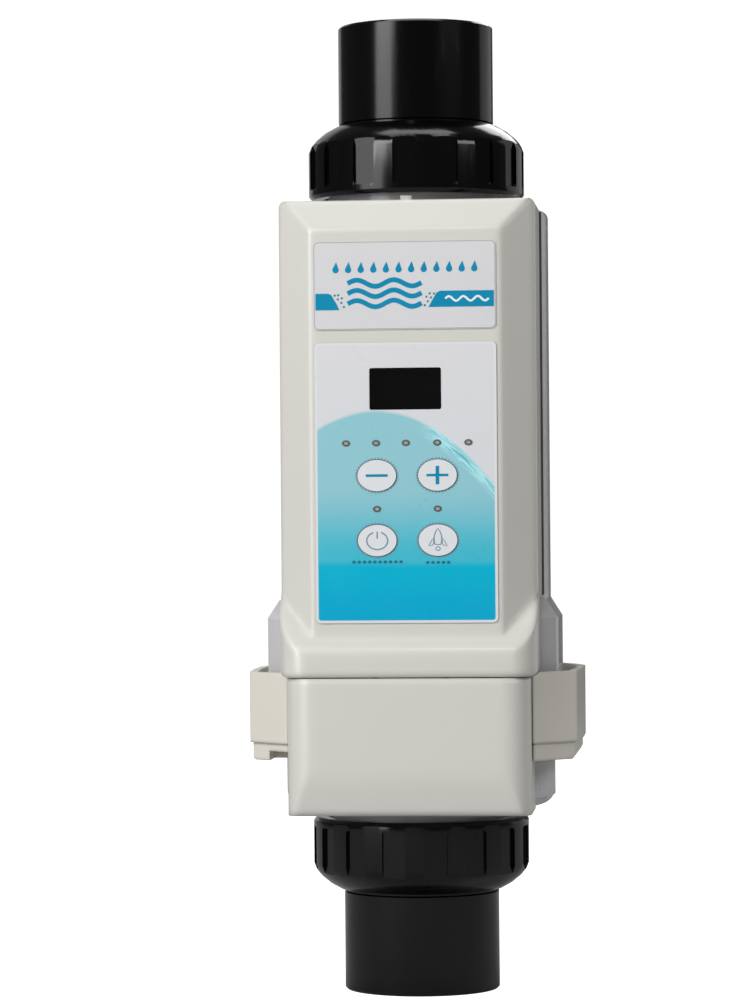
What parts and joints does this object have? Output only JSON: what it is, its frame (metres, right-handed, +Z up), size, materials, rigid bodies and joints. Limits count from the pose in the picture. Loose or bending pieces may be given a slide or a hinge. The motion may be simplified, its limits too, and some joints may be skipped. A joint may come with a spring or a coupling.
{
  "type": "salt chlorine generator",
  "caption": "Inline salt chlorine cell: clear vertical housing between two black pipe unions, ivory control cover with keypad and display, and a lower collar.",
  "frame": {"origin": "centre of the lower pipe end, on the pipe axis", "axes": "+Z up the pipe axis towards the upper union, -Y out of the control front, +X to the right seen from the front"},
  "size_m": [0.1338, 0.1532, 0.3914],
  "materials": {
    "clear_housing": "smoky clear moulded plastic, gloss",
    "black_gloss": "black moulded PVC, gloss",
    "ivory_plastic": "ivory moulded plastic, satin gloss",
    "label_film": "printed pale film, satin",
    "keypad_film": "printed blue and pale film, satin",
    "key_white": "white moulded key with printed sign",
    "window_black": "black display window, gloss",
    "lens_grey": "grey indicator lens",
    "seal_rubber": "black rubber, matt",
    "screw_steel": "stainless steel",
    "tray_plastic": "dark grey moulded plastic, matt",
    "board_green": "green circuit board lacquer",
    "module_black": "black component plastic",
    "led_clear": "clear lamp body",
    "sink_metal": "extruded aluminium",
    "capacitor_case": "dark blue sleeve",
    "core_ferrite": "ferrite and lacquered winding",
    "ribbon_grey": "grey ribbon cable",
    "post_brass": "turned brass",
    "anode_coating": "coated titanium, matt dark grey",
    "titanium": "bare titanium, brushed",
    "comb_plastic": "natural moulded plastic",
    "lead_red": "red insulated lead",
    "block_green": "green terminal block",
    "rating_film": "plain silver-grey film"
  },
  "bodies": {
    "cell": {"cell_housing": "clear_housing", "top_o_ring": "seal_rubber", "bottom_o_ring": "seal_rubber", "collar": "ivory_plastic", "lower_cover": "ivory_plastic", "lower_cover_screws": "screw_steel", "front_cover": "ivory_plastic", "cover_gasket": "seal_rubber", "cover_screws": "screw_steel", "name_label": "label_film", "keypad_overlay": "keypad_film", "display_window": "window_black", "led_lenses": "lens_grey", "mounting_tray": "tray_plastic", "tray_screws": "screw_steel", "control_board": "board_green", "control_board_screws": "screw_steel", "control_posts": "post_brass", "display_module": "module_black", "tact_switches": "screw_steel", "status_leds": "led_clear", "power_board": "board_green", "power_board_screws": "screw_steel", "power_standoffs": "post_brass", "heat_sink": "sink_metal", "capacitors": "capacitor_case", "power_relay": "module_black", "transformer": "core_ferrite", "ribbon_cable": "ribbon_grey", "anode_plates": "anode_coating", "cathode_plates": "titanium", "upper_plate_comb": "comb_plastic", "lower_plate_comb": "comb_plastic", "anode_busbar": "titanium", "cathode_busbar": "titanium", "stud_seals": "seal_rubber", "stud_nuts": "screw_steel", "electrode_leads": "lead_red", "terminal_block": "block_green", "flow_switch_body": "module_black", "paddle_pin": "screw_steel", "cable_gland": "black_gloss", "gland_cap": "black_gloss", "gland_locknut": "black_gloss", "gland_seal": "seal_rubber", "rating_label": "rating_film"},
    "top_nut": {"top_union_nut": "black_gloss"},
    "bottom_nut": {"bottom_union_nut": "black_gloss"},
    "top_tail": {"top_tailpiece": "black_gloss"},
    "bottom_tail": {"bottom_tailpiece": "black_gloss"},
    "minus_key": {"minus_button": "key_white", "minus_plunger": "module_black"},
    "plus_key": {"plus_button": "key_white", "plus_plunger": "module_black"},
    "standby_key": {"standby_button": "key_white", "standby_plunger": "module_black"},
    "boost_key": {"boost_button": "key_white", "boost_plunger": "module_black"},
    "paddle": {"flow_paddle": "comb_plastic", "paddle_magnet": "screw_steel"}
  },
  "joints": [
    {"name": "bottom_union_slide", "type": "slide", "parent": "cell", "child": "bottom_tail", "axis": [0, 0, -1], "range_m": [0, 0.01454]},
    {"name": "bottom_nut_turn", "type": "hinge", "parent": "bottom_tail", "child": "bottom_nut", "pos_m": [0, 0, 0.06], "axis": [0, 0, -1], "range_deg": [0, 2268]},
    {"name": "top_union_slide", "type": "slide", "parent": "cell", "child": "top_tail", "axis": [0, 0, 1], "range_m": [0, 0.01454]},
    {"name": "top_nut_turn", "type": "hinge", "parent": "top_tail", "child": "top_nut", "pos_m": [0, 0, 0.3314], "axis": [0, 0, 1], "range_deg": [0, 2268]},
    {"name": "minus_press", "type": "slide", "parent": "cell", "child": "minus_key", "axis": [0, 1, 0], "range_m": [0, 0.0006], "stiffness_N_per_m": 2500, "springref_m": -0.0002},
    {"name": "plus_press", "type": "slide", "parent": "cell", "child": "plus_key", "axis": [0, 1, 0], "range_m": [0, 0.0006], "stiffness_N_per_m": 2500, "springref_m": -0.0002},
    {"name": "standby_press", "type": "slide", "parent": "cell", "child": "standby_key", "axis": [0, 1, 0], "range_m": [0, 0.0006], "stiffness_N_per_m": 2500, "springref_m": -0.0002},
    {"name": "boost_press", "type": "slide", "parent": "cell", "child": "boost_key", "axis": [0, 1, 0], "range_m": [0, 0.0006], "stiffness_N_per_m": 2500, "springref_m": -0.0002},
    {"name": "paddle_swing", "type": "hinge", "parent": "cell", "child": "paddle", "pos_m": [0, -0.029, 0.29], "axis": [1, 0, 0], "range_deg": [0, 30]}
  ],
  "couplings": [
    {"joint": "bottom_nut_turn", "follows": "bottom_union_slide", "rad_per_m": 2721.2},
    {"joint": "top_nut_turn", "follows": "top_union_slide", "rad_per_m": 2721.2}
  ]
}
